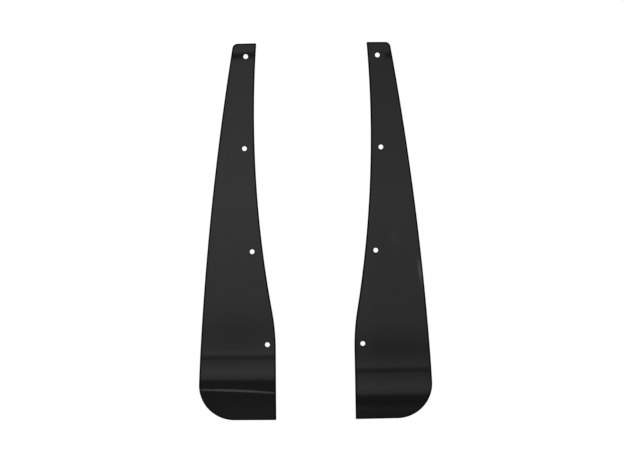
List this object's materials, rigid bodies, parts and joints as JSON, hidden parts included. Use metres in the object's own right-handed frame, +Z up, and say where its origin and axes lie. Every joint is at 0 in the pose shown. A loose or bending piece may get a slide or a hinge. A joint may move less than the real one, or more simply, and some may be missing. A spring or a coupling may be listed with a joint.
{
  "type": "mud flap pair",
  "caption": "Handed pair of tall tapered mud flaps in thin glossy black sheet, with screw holes along the inner edge and a gently curled lower end.",
  "frame": {"origin": "centre of the left flap's top screw hole, on its flat mounting face", "axes": "+Z up along the flaps as they hang, +X to the right for someone facing the polished faces, which look towards -Y, while the flat mounting faces look towards +Y"},
  "size_m": [0.3225, 0.0133, 0.5218],
  "materials": {
    "flap_plastic": "black sheet, polished on the front, with faint swirls and dust, and a fine matte grain on the back and edges"
  },
  "bodies": {
    "left_flap": {"left_flap": "flap_plastic"},
    "right_flap": {"right_flap": "flap_plastic"}
  },
  "joints": [
    {"name": "right_flap_lift", "type": "slide", "parent": "left_flap", "child": "right_flap", "axis": [0, 0, 1], "range_m": [0, 0.56]}
  ]
}
